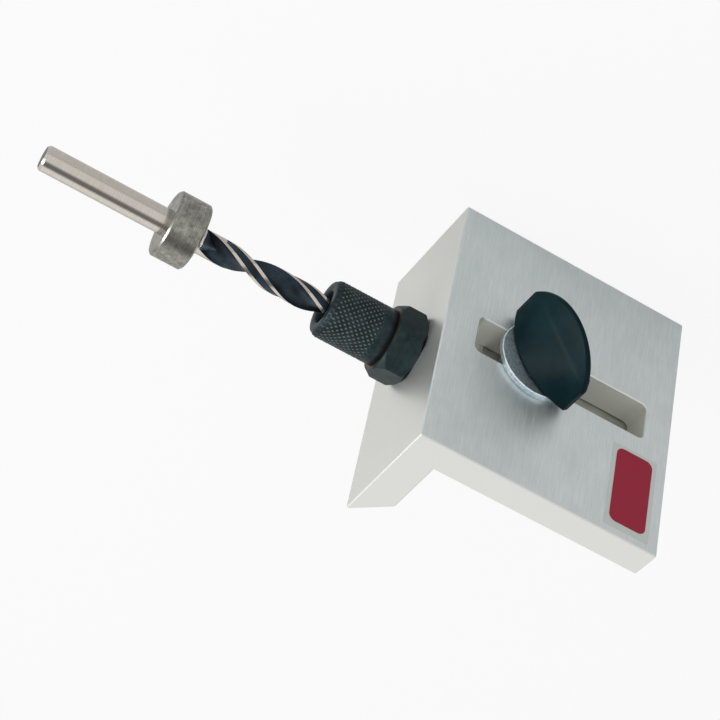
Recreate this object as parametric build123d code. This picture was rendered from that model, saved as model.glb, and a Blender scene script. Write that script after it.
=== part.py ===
from build123d import *
import math
import os

# Drilling jig: an aluminium angle with a knurled guide bush for a 6 mm twist drill,
# and a sliding stop that a wing knob clamps in a slot. All sizes are in millimetres.
# +X is the feed direction of the drill, +Y the plate's outward side, +Z is up.
# The jig lies on one of its flat L-shaped sides. The origin is on that side,
# below the drill's axis, in the middle of the leg's thickness.

# Angle
body_width = 70.0
plate_length = 60.0
plate_thickness = 8.0
leg_thickness = 8.0
leg_depth = 32.0
tip_bevel = 7.5
edge_break = 0.25

# Slot in the plate
slot_margin = 0.4
slot_length = 44.7
slot_width = 10.0
slot_corner = 1.5

# Guide bush and its lock nut
axis_depth = 15.5
thread_diameter = 10.0
thread_recess = 0.2
sleeve_diameter = 13.9
sleeve_length = 15.4
mouth_diameter = 7.8
mouth_depth = 5.0
mouth_chamfer = 0.3
nose_diameter = 12.4
nose_length = 1.2
nut_across_flats = 16.0
nut_thickness = 7.0
nut_face_diameter = 16.0
nut_bevel_length = 1.8
nut_seat_bevel = 0.3
nut_turn = 23.0

# Drill and its stop collar
drill_diameter = 6.0
drill_length = 93.0
drill_start = 0.9
flute_length = 54.5
flute_runout = 5.0
flute_pitch = 38.6
flute_strips = 12
land_angle = 65.0
margin_angle = 15.0
land_relief = 0.15
web_thickness = 1.4
point_angle = 118.0
drill_turn = 79.6
shank_bevel = 0.5
collar_diameter = 15.6
collar_length = 7.5
collar_bevel = 0.4
collar_gap = 32.4
grub_diameter = 4.0
grub_socket = 2.0
grub_socket_depth = 2.0

# Sliding stop
stop_place = 19.9
bar_length = 44.0
bar_width = 24.0
bar_thickness = 2.0
bar_lead = 9.9
bar_bevel = 0.4
block_length = 11.0
block_sink = 1.0
tongue_thickness = 6.8
tongue_radius = 50.0
tongue_depth = 10.5
tongue_lead = 1.3
drill_passage = 6.8
screw_diameter = 3.0
screw_head_diameter = 6.0
screw_length = 8.0
screw_spacing = 17.0
screw_socket = 2.0
screw_socket_depth = 1.0

# Clamp: washer, wing knob and its threaded stud
washer_diameter = 19.6
washer_bore = 6.5
washer_thickness = 1.5
washer_bevel = 0.2
stud_diameter = 6.0
stud_hold = 4.0
stud_recess = 0.4
stud_bevel = 0.5
knob_gap = 0.2
knob_length = 25.8
knob_width = 11.4
knob_tip_width = 1.4
knob_shoulder = 9.3
knob_end_height = 8.0
knob_height = 15.5
blade_width = 3.0
blade_top_width = 1.8
knob_ridge = 1.2
knob_angle = 36.0

# Clearances
running = 0.05
sliding = 0.1
screw_clearance = 0.05

# Reach of the tests that pick an edge by its place, and of the cutters past the drill's radius
edge_reach = 0.05
cutter_reach = 1.2

# Places worked out from the sizes
leg_front = -leg_thickness / 2
leg_back = leg_thickness / 2
plate_top = axis_depth
plate_under = plate_top - plate_thickness
leg_tip = plate_top - leg_depth
axis_height = body_width / 2
slot_start = leg_back + slot_margin
bush_nose = leg_front - nut_thickness - sleeve_length
bush_end = leg_back - thread_recess
bush_bore = drill_diameter / 2 + running
thread_hole = thread_diameter / 2 + running
drill_tip = leg_front + drill_start
drill_end = drill_tip - drill_length
collar_front = bush_nose - collar_gap
bar_top = plate_under - sliding
bar_under = bar_top - bar_thickness
bar_start = stop_place - bar_lead
screw_x = bar_start + tongue_lead + tongue_thickness / 2
washer_top = plate_top + washer_thickness
knob_base = washer_top + knob_gap


def along_x(x):
    """Plane square to the drill's axis, with its own Y along the row's +Y and Z up."""
    return Plane(origin=(x, 0, axis_height), x_dir=(0, 1, 0), z_dir=(1, 0, 0))


def above_plate(y, x=0.0, height=axis_height):
    """Plane parallel to the plate, facing out of it, with its own X along +X."""
    return Plane(origin=(x, y, height), x_dir=(1, 0, 0), z_dir=(0, 1, 0))


def turned(points, x):
    """Solid of revolution about the drill's axis: points are (distance along +X, radius)."""
    plane = Plane(origin=(x, 0, axis_height), x_dir=(1, 0, 0), z_dir=(0, 0, 1))
    outline = plane * make_face(Polyline(*points, close=True))
    return revolve(outline, Axis((0, 0, axis_height), (1, 0, 0)), 360)


def angle_body():
    """L-section with a bevelled leg tip, a long slot and the threaded hole."""
    corners = [
        (leg_front, leg_tip),
        (leg_front, plate_top),
        (leg_front + plate_length, plate_top),
        (leg_front + plate_length, plate_under),
        (leg_back, plate_under),
        (leg_back, leg_tip + tip_bevel),
        (leg_front + leg_thickness - tip_bevel, leg_tip),
    ]
    outline = make_face(Polyline(*corners, close=True))
    outer_corners = [v for v in outline.vertices() if not at_inner_corner(v)]
    body = extrude(chamfer(outer_corners, edge_break), body_width)
    sides = body.faces().sort_by(Axis.Z)
    body = chamfer(sides[0].edges() + sides[-1].edges(), edge_break)
    slot = Pos(slot_start + slot_length / 2, 0) * RectangleRounded(slot_length, slot_width, slot_corner)
    body -= extrude(above_plate(plate_under) * slot, plate_thickness)
    rim = [e for e in body.edges() if on_slot_rim(e)]
    body = chamfer(rim, edge_break)
    hole = extrude(along_x(leg_front) * Circle(thread_hole), leg_thickness)
    return body - hole


def at_inner_corner(vertex):
    """True for the corner where the leg's inner face meets the plate's underside."""
    return abs(vertex.X - leg_back) < edge_reach and abs(vertex.Y - plate_under) < edge_reach


def on_slot_rim(edge):
    """True for the edges where the slot breaks through the plate's two faces."""
    middle = edge.center()
    inside_x = slot_start - edge_reach < middle.X < slot_start + slot_length + edge_reach
    inside_z = abs(middle.Z - axis_height) < slot_width / 2 + edge_reach
    lies_flat = edge.bounding_box().size.Y < edge_reach
    return inside_x and inside_z and lies_flat


def drill_bush():
    """Knurled sleeve with a threaded shank, bored for the drill and opened out at its mouth."""
    outer = sleeve_diameter / 2
    shoulder = sleeve_length
    end = bush_end - bush_nose
    points = [
        (0, mouth_diameter / 2 + mouth_chamfer),
        (0, nose_diameter / 2),
        (nose_length, outer),
        (shoulder, outer),
        (shoulder, thread_diameter / 2),
        (end - mouth_chamfer, thread_diameter / 2),
        (end, thread_diameter / 2 - mouth_chamfer),
        (end, bush_bore),
        (mouth_depth, bush_bore),
        (mouth_depth, mouth_diameter / 2),
        (mouth_chamfer, mouth_diameter / 2),
    ]
    return turned(points, bush_nose)


def lock_nut():
    """Hexagon nut, turned to a long bevel on its free side."""
    corner = nut_across_flats / math.sqrt(3)
    profile = [
        (0, thread_hole),
        (0, nut_face_diameter / 2),
        (nut_bevel_length, corner),
        (nut_thickness - nut_seat_bevel, corner),
        (nut_thickness, corner - 2 * nut_seat_bevel),
        (nut_thickness, thread_hole),
    ]
    place = leg_front - nut_thickness
    hexagon = Rot(0, 0, nut_turn) * RegularPolygon(corner, 6)
    prism = extrude(along_x(place) * hexagon, nut_thickness)
    return prism & turned(profile, place)


def ring_point(radius, degrees):
    """Point of the drill's section at a radius and an angle."""
    return radius * math.cos(math.radians(degrees)), radius * math.sin(math.radians(degrees))


def flute_section(side):
    """Section of the cutter for one flute: a round wall beside the web, open to the outside.
    The wall is drawn as a row of short arcs, so that its twisted surface is narrow strips."""
    outer = drill_diameter / 2
    half_land = math.radians(land_angle / 2)
    lip = outer * math.cos(half_land)
    rise = outer * math.sin(half_land) - web_thickness / 2
    radius = (lip ** 2 + rise ** 2) / (2 * rise)
    swing = math.asin(cutter_reach * lip / radius)
    turns = [swing * (1 - i / flute_strips) for i in range(2 * flute_strips + 1)]
    wall = [(radius * math.sin(a), web_thickness / 2 + radius * (1 - math.cos(a))) for a in turns]
    edges = [ThreePointArc(*wall[i:i + 3]) for i in range(0, 2 * flute_strips, 2)]
    top = cutter_reach * outer
    rim = Polyline(wall[-1], (wall[-1][0], top), (wall[0][0], top), wall[0])
    return Rot(0, 0, side) * make_face(edges + [rim])


def margin_section(side):
    """Section of the cutter that clears the middle of one land, between its two margins."""
    gap = land_angle / 2 - margin_angle
    low = drill_diameter / 2 - 2 * land_relief
    high = cutter_reach * drill_diameter / 2
    corners = [ring_point(low, side - gap), ring_point(high, side - gap),
               ring_point(high, side + gap), ring_point(low, side + gap)]
    return make_face(Polyline(*corners, close=True))


def twisted(section, start):
    """Solid that turns with the flutes, from a distance past their start to the drill's tip."""
    length = flute_length - start
    turn = 360 * length / flute_pitch
    plane = along_x(drill_tip - length)
    profile = (plane * Rot(0, 0, drill_turn - turn) * section).face()
    return Solid.extrude_linear_with_rotation(profile, plane.origin, Vector(length, 0, 0), turn)


def twist_drill():
    """Turned blank with a conical point, two helical flutes and the margins of their lands."""
    outer = drill_diameter / 2
    point_length = outer / math.tan(math.radians(point_angle / 2))
    drill = turned([
        (0, 0),
        (0, outer - shank_bevel),
        (shank_bevel, outer),
        (drill_length - point_length, outer),
        (drill_length, 0),
    ], drill_end)
    flute_start = drill_tip - flute_length
    runout = turned([(0, 0), (0, 2 * outer), (2 * flute_runout, 0)], flute_start - flute_runout)
    relieved = outer - land_relief
    core = turned([(0, 0), (0, relieved), (flute_length, relieved), (flute_length, 0)], flute_start)
    for side in (0, 180):
        drill -= twisted(flute_section(side), -flute_runout) - runout
        drill -= twisted(margin_section(side), flute_runout) - core
    return drill


def grub_place(radius):
    """Plane square to the grub screw's axis, at a distance from the drill's axis."""
    out = Vector(0, -1, -1).normalized()
    middle = Vector(collar_front - collar_length / 2, 0, axis_height)
    return Plane(origin=middle + out * radius, x_dir=(1, 0, 0), z_dir=out)


def stop_collar():
    """Ring on the drill's shank, with a threaded hole for its grub screw."""
    outer = collar_diameter / 2
    inner = drill_diameter / 2 + running
    points = [
        (0, inner),
        (0, outer - collar_bevel),
        (collar_bevel, outer),
        (collar_length - collar_bevel, outer),
        (collar_length, outer - collar_bevel),
        (collar_length, inner),
    ]
    ring = turned(points, collar_front - collar_length)
    hole = extrude(grub_place(0) * Circle(grub_diameter / 2 + running), outer + collar_bevel)
    return ring - hole


def collar_screw():
    """Hexagon-socket grub screw that clamps the collar to the shank."""
    start = drill_diameter / 2 + running
    length = collar_diameter / 2 - start - collar_bevel
    screw = extrude(grub_place(start) * Circle(grub_diameter / 2), length)
    socket = extrude(grub_place(start + length - grub_socket_depth)
                     * RegularPolygon(grub_socket / math.sqrt(3), 6), grub_socket_depth)
    return screw - socket


def stop_slider():
    """Flat bar under the plate with a block that runs in the slot and takes the stud."""
    bar = extrude(above_plate(bar_under) * Pos(bar_start + bar_length / 2, 0)
                  * Rectangle(bar_length, bar_width), bar_thickness)
    bar = chamfer(bar.edges().filter_by(Axis.Y), bar_bevel)
    block_height = plate_top - block_sink - bar_top
    block = extrude(above_plate(bar_top) * Pos(stop_place, 0)
                    * Rectangle(block_length, slot_width - 2 * sliding), block_height)
    block = fillet(block.edges().filter_by(Axis.Y), slot_corner)
    stud_hole = extrude(above_plate(bar_under) * Pos(stop_place, 0)
                        * Circle(stud_diameter / 2 + running), bar_thickness + block_height)
    slider = bar + block - stud_hole
    for side in (-1, 1):
        slider -= screw_shape(side, screw_clearance)
    return slider


def screw_shape(side, extra):
    """Countersunk screw's outline, larger by extra where it is cut from its neighbours."""
    head = screw_head_diameter / 2 + extra
    shank = screw_diameter / 2 + extra
    half = make_face(Polyline(
        (0, 0),
        (head, 0),
        (shank, shank - head),
        (shank, -screw_length - extra),
        (0, -screw_length - extra),
        close=True,
    ))
    place = Pos(screw_x, bar_top, axis_height + side * screw_spacing / 2)
    return place * revolve(half, Axis.Y, 360)


def tongue_screws():
    """Two countersunk socket screws that hold the tongue to the bar."""
    screws = []
    for side in (-1, 1):
        place = above_plate(bar_top - screw_socket_depth, screw_x, axis_height + side * screw_spacing / 2)
        socket = extrude(place * RegularPolygon(screw_socket / math.sqrt(3), 6), screw_socket_depth)
        screws.append(screw_shape(side, 0) - socket)
    return Compound(children=screws)


def groove_tongue():
    """Crescent that drops into the groove of the panel, with a hole that lets the drill pass."""
    drop = tongue_radius - tongue_depth
    half_chord = math.sqrt(tongue_radius ** 2 - drop ** 2)
    chord = Line((0, -half_chord), (0, half_chord))
    bow = ThreePointArc((0, half_chord), (-tongue_depth, 0), (0, -half_chord))
    plane = Plane(origin=(screw_x - tongue_thickness / 2, bar_under, axis_height),
                  x_dir=(0, 1, 0), z_dir=(1, 0, 0))
    tongue = extrude(plane * make_face([chord, bow]), tongue_thickness)
    passage = extrude(along_x(screw_x - tongue_thickness / 2) * Circle(drill_passage / 2),
                      tongue_thickness)
    tongue -= passage
    for side in (-1, 1):
        tongue -= screw_shape(side, screw_clearance)
    return tongue


def clamp_washer():
    """Flat washer between the knob and the plate."""
    washer = extrude(above_plate(plate_top) * Pos(stop_place, 0) * Circle(washer_diameter / 2),
                     washer_thickness)
    washer = chamfer(washer.edges(), washer_bevel)
    return washer - extrude(above_plate(plate_top) * Pos(stop_place, 0) * Circle(washer_bore / 2),
                            washer_thickness)


def clamp_stud():
    """Threaded stud moulded into the knob, which screws into the sliding block."""
    start = bar_under + stud_recess
    length = knob_base + stud_hold - start
    stud = extrude(above_plate(start) * Pos(stop_place, 0) * Circle(stud_diameter / 2), length)
    return chamfer(stud.edges().sort_by(Axis.Y)[0], stud_bevel)


def wing_outline(width, tip):
    """Lens-shaped outline of the knob at one height, seen along the stud."""
    end = knob_length / 2
    far = ThreePointArc((-end, tip / 2), (0, width / 2), (end, tip / 2))
    right = Line((end, tip / 2), (end, -tip / 2))
    near = ThreePointArc((end, -tip / 2), (0, -width / 2), (-end, -tip / 2))
    left = Line((-end, -tip / 2), (-end, tip / 2))
    return make_face([far, right, near, left])


def knob_seat():
    """Plane at the foot of the knob, facing out of the plate, with its own X along the wing."""
    angle = math.radians(90 - knob_angle)
    wing = (math.cos(angle), 0, math.sin(angle))
    return Plane(origin=(stop_place, knob_base, axis_height), x_dir=wing, z_dir=(0, 1, 0))


def knob_dome():
    """Turned form over the wing: an arched ridge with a slope on each side."""
    end = knob_length / 2
    rise = knob_height - knob_end_height
    radius = (end ** 2 + rise ** 2) / (2 * rise)
    ridge = knob_ridge / 2
    side = knob_width / 2
    outline = make_face(Polyline(
        (-side, 0),
        (-side, radius - side + ridge),
        (-ridge, radius),
        (ridge, radius),
        (side, radius - side + ridge),
        (side, 0),
        close=True,
    ))
    middle = Plane(origin=(0, 0, knob_height - radius), x_dir=(0, 1, 0), z_dir=(1, 0, 0))
    return revolve(middle * outline, Axis(middle.origin, (0, 1, 0)), 360)


def clamp_knob():
    """Lens-shaped hub that tapers into an upright blade under a domed top edge."""
    shoulder = Pos(0, 0, knob_shoulder) * wing_outline(blade_width, knob_tip_width)
    hub = loft([wing_outline(knob_width, knob_tip_width), shoulder])
    blade = loft([shoulder, Pos(0, 0, knob_height) * wing_outline(blade_top_width, knob_tip_width)])
    knob = (hub + blade) & knob_dome()
    knob -= extrude(Circle(stud_diameter / 2), stud_hold)
    return knob_seat() * knob


PARTS = {
    "angle_body": angle_body,
    "drill_bush": drill_bush,
    "lock_nut": lock_nut,
    "twist_drill": twist_drill,
    "stop_collar": stop_collar,
    "collar_screw": collar_screw,
    "stop_slider": stop_slider,
    "groove_tongue": groove_tongue,
    "tongue_screws": tongue_screws,
    "clamp_washer": clamp_washer,
    "clamp_stud": clamp_stud,
    "clamp_knob": clamp_knob,
}

os.makedirs("parts", exist_ok=True)
for name, make in PARTS.items():
    export_step(make(), os.path.join("parts", name + ".step"))
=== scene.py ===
import math

import bpy
from mathutils import Matrix, Vector


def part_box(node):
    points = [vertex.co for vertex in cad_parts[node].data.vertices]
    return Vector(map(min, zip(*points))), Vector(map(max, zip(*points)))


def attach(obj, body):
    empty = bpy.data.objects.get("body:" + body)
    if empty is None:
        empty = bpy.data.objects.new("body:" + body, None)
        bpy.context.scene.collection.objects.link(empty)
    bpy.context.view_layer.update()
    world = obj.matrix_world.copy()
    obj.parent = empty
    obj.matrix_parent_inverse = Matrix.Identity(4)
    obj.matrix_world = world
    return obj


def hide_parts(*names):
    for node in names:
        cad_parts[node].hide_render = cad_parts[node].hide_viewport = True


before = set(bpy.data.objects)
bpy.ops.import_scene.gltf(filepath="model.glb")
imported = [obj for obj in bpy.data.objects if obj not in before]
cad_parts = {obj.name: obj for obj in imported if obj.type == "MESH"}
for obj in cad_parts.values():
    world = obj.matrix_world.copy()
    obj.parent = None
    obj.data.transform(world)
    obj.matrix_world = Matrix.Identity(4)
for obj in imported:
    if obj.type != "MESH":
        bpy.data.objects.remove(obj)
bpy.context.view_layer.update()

# Angle body. One length of extruded aluminium angle, sawn off, milled for the slot and
# the leg's bevel, then brushed across its width. The brush leaves long fine scratches
# that run along Z, so the plate reads as soft grey streaks and the cut ends as plain satin.
MM = 0.001
AXIS_HEIGHT = 35.0      # of the drill, in mm


def srgb(code):
    """Linear colour of an sRGB hex value."""
    parts = [int(code[i:i + 2], 16) / 255 for i in (1, 3, 5)]
    return [c / 12.92 if c <= 0.04045 else ((c + 0.055) / 1.055) ** 2.4 for c in parts] + [1.0]


def add_node(tree, kind, values=None, links=None, **settings):
    """Adds a node with its settings, its socket values and its links from other nodes' outputs."""
    node = tree.nodes.new(kind)
    for name, value in settings.items():
        setattr(node, name, value)
    for socket, value in (values or {}).items():
        node.inputs[socket].default_value = value
    for socket, source in (links or {}).items():
        tree.links.new(source, node.inputs[socket])
    return node


def new_material(name):
    """Empty node material with its output."""
    material = bpy.data.materials.new(name)
    material.use_nodes = True
    tree = material.node_tree
    tree.nodes.clear()
    output = add_node(tree, "ShaderNodeOutputMaterial")
    return material, tree, output


def set_stops(ramp, low, high):
    """Positions and colours of a ramp's two stops."""
    for stop, (position, code) in zip(ramp.color_ramp.elements, (low, high)):
        stop.position = position
        stop.color = srgb(code)


def finish_cad_node(name, material):
    """Gives a CAD node its material."""
    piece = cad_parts[name]
    piece.data.materials.clear()
    piece.data.materials.append(material)


def inside(tree, value, low, high):
    """Mask that is 1 where a value in metres lies between two places in mm."""
    middle, half = (low + high) / 2 * MM, (high - low) / 2 * MM
    return add_node(tree, "ShaderNodeMath", {1: middle, 2: half}, {0: value},
                    operation="COMPARE").outputs["Value"]


def both(tree, one, other):
    """Product of two masks."""
    return add_node(tree, "ShaderNodeMath", links={0: one, 1: other},
                    operation="MULTIPLY").outputs["Value"]


def blended(tree, mask, below, above):
    """Colour that turns from one source to a flat colour where a mask is 1."""
    return add_node(tree, "ShaderNodeMix", {"B": srgb(above)}, {"Factor": mask, "A": below},
                    data_type="RGBA").outputs["Result"]


def blended_value(tree, mask, below, above):
    """Value that turns from one source to a number where a mask is 1."""
    return add_node(tree, "ShaderNodeMix", {"B": above},
                    {"Factor": mask, "A": below}).outputs["Result"]


def brushed_aluminium():
    """Brushed aluminium: fine scratches spread its reflections across the grain, so it looks
    streaked and soft. The etch-finished leg and the saw-cut ends are plain and paler, and the
    milled slot is matt. Their colours are painted light and shade: lighter on the leg's faces and
    a shade darker on the saw-cut ends, set to how each face takes the light. The grain is drawn
    coarser than real scratches, which wouldn't show."""
    grain_width, grain_length, cloud_size = 0.24, 5.0, 6.0
    slot_x, slot_y, slot_z = (4.3, 49.2), (7.6, 15.2), (29.9, 40.1)
    halfway = 0.5       # between a face that looks along an axis and one that lies across it
    material, tree, output = new_material("brushed aluminium")
    place = add_node(tree, "ShaderNodeTexCoord").outputs["Object"]
    across, along = 1 / (grain_width * MM), 1 / (grain_length * MM)
    stretched = add_node(tree, "ShaderNodeMapping", {"Scale": (across, across, along)},
                         {"Vector": place})
    grain = add_node(tree, "ShaderNodeTexNoise",
                     {"Scale": 1.0, "Detail": 2.0, "Roughness": 0.5},
                     {"Vector": stretched.outputs["Vector"]})
    clouds = add_node(tree, "ShaderNodeTexNoise",
                      {"Scale": 1 / (cloud_size * MM), "Detail": 3.0}, {"Vector": place})
    mixed = add_node(tree, "ShaderNodeMix", {"Factor": 0.35},
                     {"A": grain.outputs["Fac"], "B": clouds.outputs["Fac"]})
    colour = add_node(tree, "ShaderNodeValToRGB", links={"Fac": mixed.outputs["Result"]})
    set_stops(colour, (0.32, "#D2DADA"), (0.68, "#E2E7E7"))
    gloss = add_node(tree, "ShaderNodeMapRange",
                     {"From Min": 0.3, "From Max": 0.7, "To Min": 0.46, "To Max": 0.54},
                     {"Value": grain.outputs["Fac"]})
    parts = add_node(tree, "ShaderNodeSeparateXYZ", links={"Vector": place})
    milled = both(tree, inside(tree, parts.outputs["Y"], *slot_y),
                  inside(tree, parts.outputs["Z"], *slot_z))
    milled = both(tree, milled, inside(tree, parts.outputs["X"], *slot_x))
    normal = add_node(tree, "ShaderNodeNewGeometry").outputs["Normal"]
    facing = add_node(tree, "ShaderNodeSeparateXYZ", links={"Vector": normal})
    outward = add_node(tree, "ShaderNodeMath", links={0: facing.outputs["Y"]},
                       operation="ABSOLUTE")
    etched_and_painted_light = add_node(tree, "ShaderNodeMath", {1: halfway}, {0: outward.outputs["Value"]},
                      operation="LESS_THAN").outputs["Value"]
    upward = add_node(tree, "ShaderNodeMath", links={0: facing.outputs["Z"]},
                      operation="ABSOLUTE")
    sawn_ends_painted_shade = add_node(tree, "ShaderNodeMath", {1: halfway}, {0: upward.outputs["Value"]},
                    operation="GREATER_THAN").outputs["Value"]
    # Painted light and shade: the leg's faces get a lighter colour and the ends a shade darker
    # one, set to how each face takes the light; the etch finish itself gives only the plain,
    # ungrained look and the roughness.
    shade = blended(tree, etched_and_painted_light, colour.outputs["Color"], "#E5E6E1")
    shade = blended(tree, sawn_ends_painted_shade, shade, "#DADAD6")
    shade = blended(tree, milled, shade, "#E0E1D9")
    rough = blended_value(tree, etched_and_painted_light, gloss.outputs["Result"], 0.42)
    rough = blended_value(tree, milled, rough, 0.62)
    metal = add_node(tree, "ShaderNodeMapRange", {"To Min": 1.0, "To Max": 0.35},
                     {"Value": milled})
    bump = add_node(tree, "ShaderNodeBump", {"Strength": 0.12, "Distance": 0.01 * MM},
                    {"Height": grain.outputs["Fac"]})
    surface = add_node(tree, "ShaderNodeBsdfPrincipled",
                       links={"Base Color": shade, "Roughness": rough,
                              "Metallic": metal.outputs["Result"],
                              "Normal": bump.outputs["Normal"]})
    tree.links.new(surface.outputs["BSDF"], output.inputs["Surface"])
    return material


finish_cad_node("angle_body", brushed_aluminium())

# Label. A clear polyester film with a plain dark-red field printed on it, cut to a
# rectangle and pressed on the plate's corner. It lies as one flat, faintly glossy patch.
FILM_THICKNESS = 0.05
FILM = {"centre": (47.6, 56.45), "size": (11.6, 23.1), "radius": 0.4}
FIELD = {"centre": (47.6, 56.0), "size": (9.4, 20.6), "radius": 1.8}


def mesh_piece(name, points, faces, sharp_angle=35):
    """Object from points and faces, shaded smooth but for edges sharper than an angle."""
    mesh = bpy.data.meshes.new(name)
    mesh.from_pydata(points, [], faces)
    mesh.validate()
    mesh.shade_smooth()
    mesh.set_sharp_from_angle(angle=math.radians(sharp_angle))
    piece = bpy.data.objects.new(name, mesh)
    bpy.context.scene.collection.objects.link(piece)
    return piece


def rounded_plate(name, top, centre, size, radius):
    """Film with rounded corners that lies on the jig's plate: sizes in mm along X and Z."""
    steps = 8
    outline = []
    for corner, (sx, sz) in enumerate([(1, 1), (-1, 1), (-1, -1), (1, -1)]):
        for i in range(steps + 1):
            turn = math.radians(90 * corner + 90 * i / steps)
            outline.append((centre[0] + sx * (size[0] / 2 - radius) + radius * math.cos(turn),
                            centre[1] + sz * (size[1] / 2 - radius) + radius * math.sin(turn)))
    count = len(outline)
    points = [(x * MM, y * MM, z * MM) for y in (top - FILM_THICKNESS, top)
              for x, z in outline]
    faces = [tuple(range(count)), tuple(reversed(range(count, 2 * count)))]
    faces += [(i, i + count, (i + 1) % count + count, (i + 1) % count) for i in range(count)]
    return mesh_piece(name, points, faces)


def polyester_film(name, colour, roughness, metallic):
    """Polyester film: smooth, with a slight gloss, over metal or over a print."""
    material, tree, output = new_material(name)
    place = add_node(tree, "ShaderNodeTexCoord").outputs["Object"]
    ripple_size = 4.0
    ripple = add_node(tree, "ShaderNodeTexNoise", {"Scale": 1 / (ripple_size * MM)},
                      {"Vector": place})
    bump = add_node(tree, "ShaderNodeBump", {"Strength": 0.2, "Distance": 0.02 * MM},
                    {"Height": ripple.outputs["Fac"]})
    surface = add_node(tree, "ShaderNodeBsdfPrincipled",
                       {"Base Color": srgb(colour), "Roughness": roughness,
                        "Metallic": metallic, "Specular IOR Level": 0.15},
                       {"Normal": bump.outputs["Normal"]})
    tree.links.new(surface.outputs["BSDF"], output.inputs["Surface"])
    return material


plate_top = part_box("angle_body")[1].y / MM
film = rounded_plate("label_film", plate_top + FILM_THICKNESS, **FILM)
film.data.materials.append(polyester_film("clear film on aluminium", "#CFD5D0", 0.4, 1.0))
red_field = rounded_plate("label_field", plate_top + 2 * FILM_THICKNESS, **FIELD)
red_field.data.materials.append(polyester_film("dark red print", "#96263A", 0.45, 0.0))
for piece in (film, red_field):
    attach(piece, "angle")

# Drill bush. Turned from steel bar, diamond-knurled with two crossed rolls, hardened and
# black-oxidised, which leaves a blue-grey skin with a satin shine on the knurl's crests.
KNURL_ROUND = 32        # grooves of one hand round the sleeve
KNURL_PITCH = 1.42
KNURL_DEPTH = 0.3
SAMPLES_PER_DIAMOND = 10
ALL_ALONG = (-100, 100)


def knurl_depth(along, turns):
    """Depth of the crossed V-grooves at a distance along the sleeve and a share of a turn."""
    grooves = []
    for side in (-1, 1):
        phase = along / KNURL_PITCH + side * turns * KNURL_ROUND
        grooves.append(abs(phase - round(phase)) * 2)
    return KNURL_DEPTH * (1 - min(grooves))


def ring_faces(rows, segments):
    """Faces between rings of points, each joined to the next and the last to the first."""
    faces = []
    for j in range(rows):
        below, above = j * segments, (j + 1) % rows * segments
        for i in range(segments):
            k = (i + 1) % segments
            faces.append((below + i, above + i, above + k, below + k))
    return faces


def lathe(name, profile, segments, cut, sharp_angle):
    """Turned piece about the drill's axis: profile is a closed loop of (x, radius) in mm,
    and cut gives how deep it is cut at an x and a share of a turn."""
    points = []
    for x, radius in profile:
        for i in range(segments):
            turn = math.tau * i / segments
            r = radius - cut(x, i / segments)
            points.append((x * MM, r * math.cos(turn) * MM,
                           (AXIS_HEIGHT + r * math.sin(turn)) * MM))
    return mesh_piece(name, points, ring_faces(len(profile), segments), sharp_angle)


def axis_radius(tree, place):
    """Distance from the drill's axis, in metres."""
    centred = add_node(tree, "ShaderNodeVectorMath", {1: (0, 0, AXIS_HEIGHT * MM)}, {0: place},
                       operation="SUBTRACT")
    flat = add_node(tree, "ShaderNodeVectorMath", {1: (0, 1, 1)}, {0: centred.outputs["Vector"]},
                    operation="MULTIPLY")
    return add_node(tree, "ShaderNodeVectorMath", links={0: flat.outputs["Vector"]},
                    operation="LENGTH").outputs["Value"]


def ramp_mask(tree, value, low, high):
    """Mask that rises softly from 0 to 1 while a value in metres passes two places in mm."""
    return add_node(tree, "ShaderNodeMapRange", {"From Min": low * MM, "From Max": high * MM},
                    {"Value": value}, interpolation_type="SMOOTHSTEP").outputs["Result"]


def black_oxide(name, dark, light, worn_colour=None, worn=None, worn_span=ALL_ALONG):
    """Black-oxidised steel: a thin skin that looks blue-black with a satin shine. Rubbing thins
    it to worn_colour: worn gives the distances from the drill's axis, in mm, where that sets
    in, is full, is full still and ends, and worn_span gives where it lies along the axis."""
    material, tree, output = new_material(name)
    place = add_node(tree, "ShaderNodeTexCoord").outputs["Object"]
    patch_size, grit = 2.5, 0.25
    patches = add_node(tree, "ShaderNodeTexNoise",
                       {"Scale": 1 / (patch_size * MM), "Detail": 4.0, "Roughness": 0.6},
                       {"Vector": place})
    colour = add_node(tree, "ShaderNodeValToRGB", links={"Fac": patches.outputs["Fac"]})
    set_stops(colour, (0.35, dark), (0.7, light))
    shade = colour.outputs["Color"]
    if worn:
        radius = axis_radius(tree, place)
        rub = both(tree, ramp_mask(tree, radius, worn[0], worn[1]),
                   ramp_mask(tree, radius, worn[3], worn[2]))
        along = add_node(tree, "ShaderNodeSeparateXYZ", links={"Vector": place}).outputs["X"]
        rub = both(tree, rub, inside(tree, along, *worn_span))
        shade = blended(tree, rub, shade, worn_colour)
    specks = add_node(tree, "ShaderNodeTexNoise", {"Scale": 1 / (grit * MM), "Detail": 2.0},
                      {"Vector": place})
    bump = add_node(tree, "ShaderNodeBump", {"Strength": 0.2, "Distance": 0.01 * MM},
                    {"Height": specks.outputs["Fac"]})
    surface = add_node(tree, "ShaderNodeBsdfPrincipled",
                       {"Metallic": 0.85, "Roughness": 0.45, "Specular IOR Level": 0.3},
                       {"Base Color": shade, "Normal": bump.outputs["Normal"]})
    tree.links.new(surface.outputs["BSDF"], output.inputs["Surface"])
    return material


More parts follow.
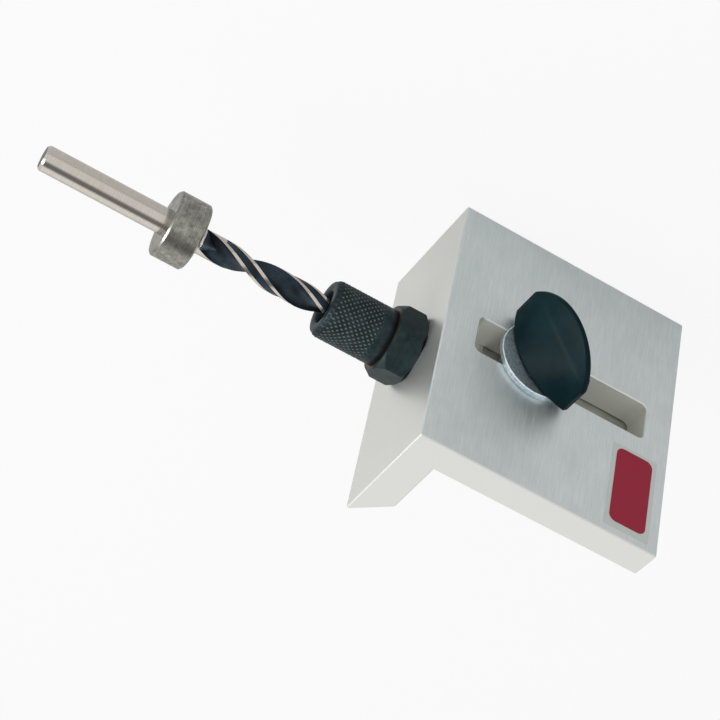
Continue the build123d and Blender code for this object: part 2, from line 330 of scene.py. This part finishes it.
def bush_profile():
    """Outline of the bush from its mouth to its threaded end and back through the bore."""
    low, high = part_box("drill_bush")
    nose, end = low.x / MM, high.x / MM
    outer = (high.y - low.y) / 2 / MM
    nose_radius, chamfer_length, sleeve_end = 6.2, 1.2, 15.4
    nose_edge, shoulder_edge, knurl_runout = 0.1, 0.15, 0.25
    knurl_start, knurl_end, neck_radius = 0.6, 12.1, outer - 0.06
    thread_radius, bore_radius = 5.0, 3.05
    mouth_radius, mouth_depth, broken_edge = 3.9, 5.0, 0.3
    step = KNURL_PITCH / SAMPLES_PER_DIAMOND
    rows = int((knurl_end - knurl_start) / step)
    slope = (outer - nose_radius) / chamfer_length
    knurl = [(nose + knurl_start + i * step,
              min(outer, nose_radius + slope * (knurl_start + i * step)))
             for i in range(rows + 1)]
    return [
        (nose, mouth_radius + broken_edge),
        (nose, nose_radius - shoulder_edge),
        (nose + nose_edge, nose_radius),
        *knurl,
        (nose + knurl_end + knurl_runout, neck_radius),
        (nose + sleeve_end - shoulder_edge, neck_radius),
        (nose + sleeve_end, neck_radius - shoulder_edge),
        (nose + sleeve_end, thread_radius),
        (end - broken_edge, thread_radius),
        (end, thread_radius - broken_edge),
        (end, bore_radius),
        (nose + mouth_depth, bore_radius),
        (nose + mouth_depth, mouth_radius),
        (nose + broken_edge, mouth_radius),
    ], nose + knurl_start, nose + knurl_end


profile, knurl_from, knurl_to = bush_profile()


def bush_cut(x, turns):
    """Knurl only between its two ends."""
    slack = 0.01
    knurled = knurl_from - slack < x < knurl_to + slack
    return knurl_depth(x, turns) if knurled else 0.0


bush = lathe("knurled_bush", profile, KNURL_ROUND * SAMPLES_PER_DIAMOND, bush_cut,
             sharp_angle=50)
bush.data.materials.append(black_oxide("black oxide, bush", "#212B2E", "#323F44",
                                       worn_colour="#6E746F", worn=(6.75, 6.93, 6.97, 7.2),
                                       worn_span=(knurl_from, knurl_to)))
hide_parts("drill_bush")
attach(bush, "bush")

# Lock nut. A thin hexagon nut, bevelled on both sides in the lathe and blackened with the
# bush. Its free face is worn to brown where the bush's shoulder rubs it.


def hexagon_nut():
    """Hexagon nut: each ring is the hexagon, held inside the radius that the lathe left."""
    low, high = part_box("lock_nut")
    free, seat = low.x / MM, high.x / MM
    flat_radius, corner, face_step, hole = 8.0, 9.238, 0.25, 5.05
    free_bevel, seat_bevel, bevel_rows = 1.8, 1.1, 10
    corner_turn, side_angle, segments = 23.0, 60, 180
    shares = [i / bevel_rows for i in range(bevel_rows + 1)]
    rise = corner - flat_radius
    rows = [(free, hole), (free, flat_radius - face_step)]
    rows += [(free + free_bevel * t, flat_radius + rise * t) for t in shares]
    rows += [(seat - seat_bevel * (1 - t), corner - rise * t) for t in shares]
    rows += [(seat, hole)]
    points = []
    for x, turned in rows:
        for i in range(segments):
            turn = math.tau * i / segments
            off_flat = (math.degrees(turn) - corner_turn) % side_angle - side_angle / 2
            radius = min(turned, flat_radius / math.cos(math.radians(off_flat)))
            points.append((x * MM, radius * math.cos(turn) * MM,
                           (AXIS_HEIGHT + radius * math.sin(turn)) * MM))
    return mesh_piece("hexagon_nut", points, ring_faces(len(rows), segments), sharp_angle=12)


nut = hexagon_nut()
nut.data.materials.append(black_oxide("black oxide, nut", "#202D2F", "#303E40",
                                      worn_colour="#544936", worn=(6.8, 7.0, 7.6, 7.8)))
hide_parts("lock_nut")
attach(nut, "nut")

# Twist drill. High-speed steel, steam-tempered to blue-black in the flutes and then ground
# on its shank and on the narrow margins of its lands, which stay bright.


def ground_and_tempered_steel():
    """Tool steel in two finishes: the ground shank and margins mirror like dull silver, and the
    tempered flutes are blue-black. The shank's end face is given the same blue-black colour. The
    lay is drawn coarse to show."""
    margin_radius, flute_start, shank_end_normal = 2.93, -57.6, -0.95
    lay_width, lay_length, patch_size = 0.12, 3.0, 3.0
    material, tree, output = new_material("tool steel, ground and tempered")
    place = add_node(tree, "ShaderNodeTexCoord").outputs["Object"]
    parts = add_node(tree, "ShaderNodeSeparateXYZ", links={"Vector": place})
    radius = axis_radius(tree, place)
    outside = add_node(tree, "ShaderNodeMath", {1: margin_radius * MM},
                       {0: radius}, operation="GREATER_THAN")
    shank = add_node(tree, "ShaderNodeMath", {1: flute_start * MM},
                     {0: parts.outputs["X"]}, operation="LESS_THAN")
    normal = add_node(tree, "ShaderNodeNewGeometry").outputs["Normal"]
    facing = add_node(tree, "ShaderNodeSeparateXYZ", links={"Vector": normal})
    # The shank's end face, whose normal points along -X, is left out of the bright part and takes
    # the blue-black colour.
    beside = add_node(tree, "ShaderNodeMath", {1: shank_end_normal}, {0: facing.outputs["X"]},
                      operation="GREATER_THAN")
    ground_part = add_node(tree, "ShaderNodeMath",
                           links={0: outside.outputs["Value"], 1: shank.outputs["Value"]},
                           operation="MAXIMUM")
    bright = add_node(tree, "ShaderNodeMath",
                      links={0: ground_part.outputs["Value"], 1: beside.outputs["Value"]},
                      operation="MULTIPLY")
    along, across = 1 / (lay_width * MM), 1 / (lay_length * MM)
    stretched = add_node(tree, "ShaderNodeMapping", {"Scale": (along, across, across)},
                         {"Vector": place})
    lay = add_node(tree, "ShaderNodeTexNoise", {"Scale": 1.0, "Detail": 3.0},
                   {"Vector": stretched.outputs["Vector"]})
    ground = add_node(tree, "ShaderNodeValToRGB", links={"Fac": lay.outputs["Fac"]})
    set_stops(ground, (0.3, "#BDB6AD"), (0.7, "#CFC9C1"))
    patches = add_node(tree, "ShaderNodeTexNoise",
                       {"Scale": 1 / (patch_size * MM), "Detail": 3.0}, {"Vector": place})
    tempered = add_node(tree, "ShaderNodeValToRGB", links={"Fac": patches.outputs["Fac"]})
    set_stops(tempered, (0.3, "#1A2228"), (0.7, "#2F3E49"))
    colour = add_node(tree, "ShaderNodeMix", links={
        "Factor": bright.outputs["Value"],
        "A": tempered.outputs["Color"],
        "B": ground.outputs["Color"]}, data_type="RGBA")
    gloss = add_node(tree, "ShaderNodeMapRange", {"To Min": 0.4, "To Max": 0.16},
                     {"Value": bright.outputs["Value"]})
    metal = add_node(tree, "ShaderNodeMapRange", {"To Min": 0.75, "To Max": 1.0},
                     {"Value": bright.outputs["Value"]})
    bump = add_node(tree, "ShaderNodeBump", {"Strength": 0.06, "Distance": 0.006 * MM},
                    {"Height": lay.outputs["Fac"]})
    surface = add_node(tree, "ShaderNodeBsdfPrincipled", links={
        "Base Color": colour.outputs["Result"],
        "Roughness": gloss.outputs["Result"],
        "Metallic": metal.outputs["Result"],
        "Normal": bump.outputs["Normal"]})
    tree.links.new(surface.outputs["BSDF"], output.inputs["Surface"])
    return material


finish_cad_node("twist_drill", ground_and_tempered_steel())

# Stop collar. A ring parted off from plain steel bar and left as turned, with a grub screw
# in its side. Fine lathe rings run round it, and oil and fingers have dulled it in patches.


def turned_steel():
    """Turned steel, unplated: fine rings round the axis, dull patches and a warm tint. The
    rings are drawn coarser than real ones, to show."""
    ring_width, ring_length, patch_size = 0.15, 6.0, 1.2
    material, tree, output = new_material("turned steel")
    place = add_node(tree, "ShaderNodeTexCoord").outputs["Object"]
    along, across = 1 / (ring_width * MM), 1 / (ring_length * MM)
    rings = add_node(tree, "ShaderNodeMapping", {"Scale": (along, across, across)},
                     {"Vector": place})
    lines = add_node(tree, "ShaderNodeTexNoise", {"Scale": 1.0, "Detail": 2.0},
                     {"Vector": rings.outputs["Vector"]})
    patches = add_node(tree, "ShaderNodeTexNoise",
                       {"Scale": 1 / (patch_size * MM), "Detail": 5.0, "Roughness": 0.65},
                       {"Vector": place})
    mixed = add_node(tree, "ShaderNodeMix", {"Factor": 0.6},
                     {"A": lines.outputs["Fac"], "B": patches.outputs["Fac"]})
    colour = add_node(tree, "ShaderNodeValToRGB", links={"Fac": mixed.outputs["Result"]})
    set_stops(colour, (0.32, "#5A5A54"), (0.66, "#A8A69E"))
    gloss = add_node(tree, "ShaderNodeMapRange",
                     {"From Min": 0.3, "From Max": 0.7, "To Min": 0.38, "To Max": 0.26},
                     {"Value": patches.outputs["Fac"]})
    bump = add_node(tree, "ShaderNodeBump", {"Strength": 0.2, "Distance": 0.01 * MM},
                    {"Height": lines.outputs["Fac"]})
    surface = add_node(tree, "ShaderNodeBsdfPrincipled", {"Metallic": 1.0},
                       {"Base Color": colour.outputs["Color"],
                        "Roughness": gloss.outputs["Result"],
                        "Normal": bump.outputs["Normal"]})
    tree.links.new(surface.outputs["BSDF"], output.inputs["Surface"])
    return material


finish_cad_node("stop_collar", turned_steel())
finish_cad_node("collar_screw", black_oxide("black oxide, grub screw", "#25292A", "#3A4041"))

# Sliding stop. A flat steel bar with a milled block, and a crescent tongue screwed to it,
# both bare. They have greyed a little, and the cutter's lay runs along the bar.


def milled_steel():
    """Milled steel, lightly greyed: a soft grey with a fine lay along the bar, drawn coarse
    enough to show, and faint patches."""
    lay_width, lay_length, patch_size = 0.25, 5.0, 4.0
    material, tree, output = new_material("milled steel")
    place = add_node(tree, "ShaderNodeTexCoord").outputs["Object"]
    along, across = 1 / (lay_length * MM), 1 / (lay_width * MM)
    stretched = add_node(tree, "ShaderNodeMapping", {"Scale": (along, across, across)},
                         {"Vector": place})
    lay = add_node(tree, "ShaderNodeTexNoise", {"Scale": 1.0, "Detail": 2.0},
                   {"Vector": stretched.outputs["Vector"]})
    patches = add_node(tree, "ShaderNodeTexNoise",
                       {"Scale": 1 / (patch_size * MM), "Detail": 3.0}, {"Vector": place})
    mixed = add_node(tree, "ShaderNodeMix", {"Factor": 0.5},
                     {"A": lay.outputs["Fac"], "B": patches.outputs["Fac"]})
    colour = add_node(tree, "ShaderNodeValToRGB", links={"Fac": mixed.outputs["Result"]})
    set_stops(colour, (0.35, "#AEB0A8"), (0.65, "#C8CAC2"))
    bump = add_node(tree, "ShaderNodeBump", {"Strength": 0.2, "Distance": 0.01 * MM},
                    {"Height": lay.outputs["Fac"]})
    surface = add_node(tree, "ShaderNodeBsdfPrincipled", {"Metallic": 1.0, "Roughness": 0.6},
                       {"Base Color": colour.outputs["Color"], "Normal": bump.outputs["Normal"]})
    tree.links.new(surface.outputs["BSDF"], output.inputs["Surface"])
    return material


stop_steel = milled_steel()
for name in ("stop_slider", "groove_tongue"):
    finish_cad_node(name, stop_steel)

# Washer, stud and screws. Pressed and rolled from mild steel and bright zinc plated, which
# gives a bluish white metal with a faint frost of crystals.


def zinc_plate():
    """Bright zinc plate: blue-white, with a crystal frost and a soft shine."""
    crystal, frost = 0.9, 0.35
    material, tree, output = new_material("zinc plate")
    place = add_node(tree, "ShaderNodeTexCoord").outputs["Object"]
    cells = add_node(tree, "ShaderNodeTexNoise",
                     {"Scale": 1 / (crystal * MM), "Detail": 5.0, "Roughness": 0.7},
                     {"Vector": place})
    fine = add_node(tree, "ShaderNodeTexVoronoi", {"Scale": 1 / (frost * MM)}, {"Vector": place})
    mixed = add_node(tree, "ShaderNodeMix", {"Factor": 0.25},
                     {"A": cells.outputs["Fac"], "B": fine.outputs["Distance"]})
    colour = add_node(tree, "ShaderNodeValToRGB", links={"Fac": mixed.outputs["Result"]})
    set_stops(colour, (0.36, "#AFC6D2"), (0.6, "#E9F2F6"))
    bump = add_node(tree, "ShaderNodeBump", {"Strength": 0.2, "Distance": 0.01 * MM},
                    {"Height": cells.outputs["Fac"]})
    surface = add_node(tree, "ShaderNodeBsdfPrincipled", {"Metallic": 1.0, "Roughness": 0.38},
                       {"Base Color": colour.outputs["Color"], "Normal": bump.outputs["Normal"]})
    tree.links.new(surface.outputs["BSDF"], output.inputs["Surface"])
    return material


zinc = zinc_plate()
for name in ("clamp_washer", "clamp_stud", "tongue_screws"):
    finish_cad_node(name, zinc)

# Wing knob. Moulded in one piece from glass-filled nylon round the head of the stud, in a
# dark blue-grey with a satin skin. The wing's crease and rim are softly rounded.


def rounded_path(corners, radii, steps):
    """Points along a polyline whose inner corners are rounded, with a fixed count per corner.
    A rounding takes just under half of a side, or nearly all of the last one."""
    half_side, last_side = 0.49, 0.95
    path = [corners[0]]
    for before, corner, after, radius in zip(corners, corners[1:], corners[2:], radii):
        back = before - corner
        ahead = after - corner
        share = last_side if after is corners[-1] else half_side
        reach = min(radius, back.length * half_side, ahead.length * share)
        start = corner + back.normalized() * reach
        end = corner + ahead.normalized() * reach
        for i in range(steps + 1):
            t = i / steps
            path.append(start * (1 - t) ** 2 + corner * 2 * t * (1 - t) + end * t ** 2)
    path.append(corners[-1])
    return path


def wing_knob():
    """Lens-shaped hub under an upright blade, lofted through sections across the wing."""
    low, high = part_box("clamp_knob")
    base, height = low.y / MM, (high.y - low.y) / MM
    middle = ((low.x + high.x) / 2 / MM, (low.z + high.z) / 2 / MM)
    half, hub, tip = 12.9, 5.7, 0.7
    shoulder, crease_half, top_half = 9.3, 1.5, 0.6
    end_height, blade_least, flank_share = 8.0, 0.3, 0.7
    rim_round, crease_round, foot_round = 0.6, 0.9, 0.25
    angle_from_x, stations, steps = 54.0, 64, 5
    dome_radius = (half ** 2 + (height - end_height) ** 2) / (2 * (height - end_height))

    def lens(u, wide):
        """Half width of a lens outline at a distance along the wing."""
        sag = wide - min(tip, wide / 2)
        radius = (half ** 2 + sag ** 2) / (2 * sag)
        return wide - radius + math.sqrt(radius ** 2 - u ** 2)

    def section(u):
        """One half of the knob's section, from its foot to its top."""
        top = height - dome_radius + math.sqrt(dome_radius ** 2 - u ** 2)
        foot, crease = lens(u, hub), lens(u, crease_half)
        ridge = crease + (lens(u, top_half) - crease) * (top - shoulder) / (height - shoulder)
        if top < shoulder + blade_least:
            ridge = foot + (crease - foot) * min(top / shoulder, 1.0)
            mid = Vector((foot + (ridge - foot) * flank_share, top * flank_share))
        else:
            mid = Vector((crease, shoulder))
        corners = [Vector((foot - foot_round, 0)), Vector((foot, foot_round)), mid,
                   Vector((ridge, top)), Vector((0, top))]
        return rounded_path(corners, [foot_round, crease_round, rim_round], steps)

    angle = math.radians(angle_from_x)
    along = Vector((math.cos(angle), 0, math.sin(angle)))
    across = Vector((-math.sin(angle), 0, math.cos(angle)))
    origin = Vector((middle[0], base, middle[1]))
    points, faces, rings = [], [], []
    for i in range(stations + 1):
        u = -half * math.cos(math.pi * i / stations)
        one = section(u)
        ring = [(w, h) for w, h in one] + [(-w, h) for w, h in reversed(one[:-1])]
        rings.append(len(points))
        for w, h in ring:
            points.append((origin + along * u + across * w + Vector((0, h, 0))) * MM)
    count = len(ring)
    for a, b in zip(rings, rings[1:]):
        faces += [(a + j, a + (j + 1) % count, b + (j + 1) % count, b + j) for j in range(count)]
    faces.append(tuple(reversed(range(count))))
    faces.append(tuple(rings[-1] + j for j in range(count)))
    return mesh_piece("wing_knob", points, faces, sharp_angle=40)


def moulded_nylon():
    """Glass-filled nylon from a spark-eroded mould: near black, with a satin sheen and a fine
    grain that is drawn coarser than the real one, to show."""
    grain_size, cloud_size = 0.18, 6.0
    material, tree, output = new_material("moulded nylon")
    place = add_node(tree, "ShaderNodeTexCoord").outputs["Object"]
    grain = add_node(tree, "ShaderNodeTexNoise", {"Scale": 1 / (grain_size * MM), "Detail": 2.0},
                     {"Vector": place})
    clouds = add_node(tree, "ShaderNodeTexNoise", {"Scale": 1 / (cloud_size * MM)},
                      {"Vector": place})
    colour = add_node(tree, "ShaderNodeValToRGB", links={"Fac": clouds.outputs["Fac"]})
    set_stops(colour, (0.3, "#0B1D21"), (0.7, "#11272C"))
    bump = add_node(tree, "ShaderNodeBump", {"Strength": 0.15, "Distance": 0.015 * MM},
                    {"Height": grain.outputs["Fac"]})
    surface = add_node(tree, "ShaderNodeBsdfPrincipled",
                       {"Roughness": 0.32, "IOR": 1.53, "Specular IOR Level": 0.03},
                       {"Base Color": colour.outputs["Color"], "Normal": bump.outputs["Normal"]})
    tree.links.new(surface.outputs["BSDF"], output.inputs["Surface"])
    return material


knob = wing_knob()
knob.data.materials.append(moulded_nylon())
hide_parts("clamp_knob")
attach(knob, "knob")

# Floor. A pale sweep of matt board that the jig lies on. It glows a little, so that it reads
# as white behind the jig, and less so in what the metal mirrors.


def matt_board():
    """Matt pale board: an even diffuse white that keeps a soft shadow."""
    seen_glow, mirrored_glow = 0.88, 0.2
    material, tree, output = new_material("matt board")
    surface = add_node(tree, "ShaderNodeBsdfDiffuse", {"Color": srgb("#C8C8C8")})
    glow = add_node(tree, "ShaderNodeEmission", {"Color": (1, 1, 1, 1), "Strength": 1.0})
    path = add_node(tree, "ShaderNodeLightPath")
    mirrored = add_node(tree, "ShaderNodeMath",
                        links={0: path.outputs["Is Glossy Ray"],
                               1: path.outputs["Is Transmission Ray"]}, operation="MAXIMUM")
    dimmed = add_node(tree, "ShaderNodeMath", {1: mirrored_glow}, {0: mirrored.outputs["Value"]},
                      operation="MULTIPLY")
    share = add_node(tree, "ShaderNodeMath", {1: seen_glow},
                     {0: path.outputs["Is Camera Ray"], 2: dimmed.outputs["Value"]},
                     operation="MULTIPLY_ADD")
    mix = add_node(tree, "ShaderNodeMixShader",
                    links={"Fac": share.outputs["Value"], 1: surface.outputs["BSDF"],
                           2: glow.outputs["Emission"]})
    tree.links.new(mix.outputs["Shader"], output.inputs["Surface"])
    return material


FLOOR_HALF = 3.0        # in metres
floor = mesh_piece("floor", [(x * FLOOR_HALF, y * FLOOR_HALF, 0)
                             for x, y in [(-1, -1), (1, -1), (1, 1), (-1, 1)]], [(0, 1, 2, 3)])
floor.data.materials.append(matt_board())

# Light. An even pale room that is dimmer overhead, a broad weak soft box over the jig's open
# side and a small strong one from the drill's end, as in a small product studio.
world = bpy.data.worlds.new("studio")
bpy.context.scene.world = world
world.use_nodes = True
room = world.node_tree
room.nodes.clear()
way = add_node(room, "ShaderNodeTexCoord").outputs["Generated"]
height = add_node(room, "ShaderNodeSeparateXYZ", links={"Vector": way})
wall = add_node(room, "ShaderNodeValToRGB", links={"Fac": height.outputs["Z"]})
set_stops(wall, (0.0, "#F8F8F8"), (1.0, "#7C7C7C"))
wall.color_ramp.elements.new(0.84).color = srgb("#F8F8F8")
wall.color_ramp.elements.new(0.95).color = srgb("#8C8C8C")
sky = add_node(room, "ShaderNodeBackground", {"Strength": 1.0}, {"Color": wall.outputs["Color"]})
white = add_node(room, "ShaderNodeBackground", {"Color": (1, 1, 1, 1), "Strength": 1.0})
seen = add_node(room, "ShaderNodeLightPath").outputs["Is Camera Ray"]
background = add_node(room, "ShaderNodeMixShader",
                      links={"Fac": seen, 1: sky.outputs["Background"],
                             2: white.outputs["Background"]})
add_node(room, "ShaderNodeOutputWorld", links={"Surface": background.outputs["Shader"]})


def soft_box(name, place, aim, size, power):
    """Square area light aimed at a point."""
    light = bpy.data.lights.new(name, "AREA")
    light.shape = "SQUARE"
    light.size = size
    light.energy = power
    lamp = bpy.data.objects.new(name, light)
    bpy.context.scene.collection.objects.link(lamp)
    lamp.location = place
    lamp.rotation_mode = "QUATERNION"
    lamp.rotation_quaternion = (Vector(aim) - Vector(place)).to_track_quat("-Z", "Y")


AIM = (0.0, 0.0, AXIS_HEIGHT * MM)
soft_box("over", place=(0.15, -0.55, 0.65), aim=AIM, size=0.9, power=0.4)
soft_box("drill end", place=(-0.7, -0.1, 0.35), aim=AIM, size=0.35, power=4.0)

# Camera. It looks down on the jig from beside the drill, rolled so that the plate stands
# upright in the picture, as in the photograph.
LENS = 116.9
SENSOR_WIDTH = 36.0
PLACE = Vector((-151.49, 355.75, 386.60))       # in mm
RIGHT = Vector((0.8525, 0.4933, -0.1731))
DOWN = Vector((0.4499, -0.5236, 0.7234))
FORWARD = Vector((0.2662, -0.6946, -0.6683))
camera_data = bpy.data.cameras.new("camera")
camera_data.lens = LENS
camera_data.sensor_width = SENSOR_WIDTH
camera_data.clip_start = 0.01
camera_data.clip_end = 20.0
camera = bpy.data.objects.new("camera", camera_data)
bpy.context.scene.collection.objects.link(camera)
turn = Matrix((RIGHT, -DOWN, -FORWARD)).transposed().to_4x4()
camera.matrix_world = Matrix.Translation(PLACE * MM) @ turn
bpy.context.scene.camera = camera

bpy.context.scene.view_settings.view_transform = "Standard"
